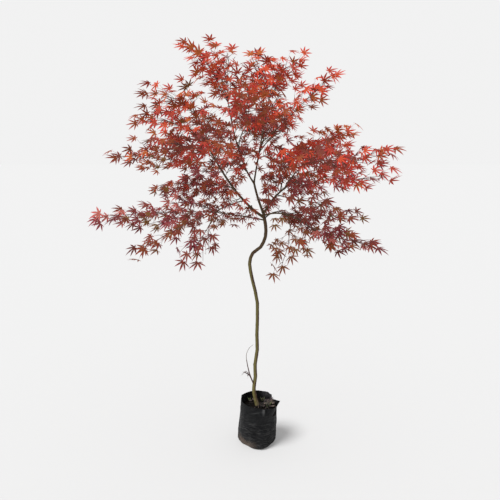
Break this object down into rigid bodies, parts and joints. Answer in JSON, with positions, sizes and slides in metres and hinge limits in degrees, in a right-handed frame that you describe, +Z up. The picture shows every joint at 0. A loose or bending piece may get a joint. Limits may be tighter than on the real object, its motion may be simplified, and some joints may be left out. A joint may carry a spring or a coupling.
{
  "type": "potted japanese maple",
  "caption": "Young ornamental maple with a slim bent trunk and a wide airy red crown, standing in a black film grow bag filled with compost.",
  "frame": {"origin": "centre of the grow bag's flat underside", "axes": "+Z up the plant, +X towards the side of the crown that is on the right when seen from the front, -Y towards the front"},
  "size_m": [1.5847, 1.3412, 2.0481],
  "materials": {
    "bark": "matt, faintly ringed bark, olive to dark brown",
    "foliage": "satin autumn leaves, scarlet to burgundy and bronze",
    "film": "wrinkled black polythene film",
    "compost": "dark damp compost with dead leaves"
  },
  "bodies": {
    "root": {"grow_bag": "film", "compost": "compost", "trunk": "bark", "foot_shoot": "foliage", "bough_left": "bark", "bough_centre": "bark", "bough_right": "bark", "bough_right_low": "bark", "bough_left_low": "bark", "bough_back_low": "bark", "bough_centre_left": "bark", "bough_centre_right": "bark", "bough_right_top": "bark", "bough_top_back": "bark", "bough_left_top": "bark", "bough_left_mid": "bark", "bough_left_back": "bark", "bough_left_front": "bark", "bough_left_drop": "bark", "bough_right_back": "bark", "bough_right_mid": "bark", "bough_right_side": "bark", "bough_right_under": "bark", "bough_front_left": "bark", "bough_front_right": "bark", "bough_front_high": "bark", "bough_back_left": "bark", "bough_back_right": "bark", "bough_back_high": "bark", "bough_inner_left": "bark", "bough_inner_right": "bark", "bough_right_drop": "bark", "foliage_top_left": "foliage", "foliage_top_right": "foliage", "foliage_top_back": "foliage", "foliage_right_top": "foliage", "foliage_upper_left": "foliage", "foliage_left_top": "foliage", "foliage_left_mid": "foliage", "foliage_left_low": "foliage", "foliage_left_back": "foliage", "foliage_left_front": "foliage", "foliage_left_drop": "foliage", "foliage_right_back": "foliage", "foliage_right": "foliage", "foliage_right_mid": "foliage", "foliage_right_side": "foliage", "foliage_right_low": "foliage", "foliage_right_under": "foliage", "foliage_right_drop": "foliage", "foliage_back_low": "foliage", "foliage_front_left": "foliage", "foliage_front_right": "foliage", "foliage_front_high": "foliage", "foliage_back_left": "foliage", "foliage_back_right": "foliage", "foliage_back_high": "foliage", "foliage_inner_left": "foliage", "foliage_inner_right": "foliage"}
  },
  "joints": []
}
